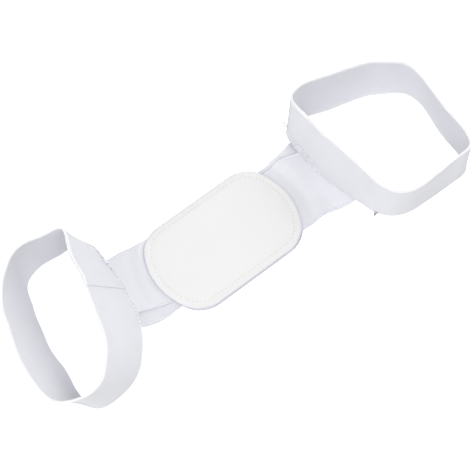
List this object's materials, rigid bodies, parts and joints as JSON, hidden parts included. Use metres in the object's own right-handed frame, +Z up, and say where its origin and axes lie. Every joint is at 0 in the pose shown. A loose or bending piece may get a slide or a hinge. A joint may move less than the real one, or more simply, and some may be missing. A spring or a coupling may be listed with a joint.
{
  "type": "posture corrector",
  "caption": "Posture corrector: soft back plates on crossed elastic bands, ending in wide upright arm loops, lying flat.",
  "frame": {"origin": "on the table under the middle of the front plate, in the back plate's under side", "axes": "+X along the plates towards the wider arm loop, +Y across the plates, +Z up from the table"},
  "size_m": [0.3561, 0.1358, 0.0542],
  "materials": {
    "leatherette": "matt white leatherette with a light grain",
    "webbing": "cool white woven elastic with fine lengthwise ribs"
  },
  "bodies": {
    "root": {"back_plate": "leatherette", "front_plate": "leatherette", "lower_cross_band": "webbing", "upper_cross_band": "webbing", "right_arm_loop": "webbing", "left_arm_loop": "webbing"}
  },
  "joints": []
}
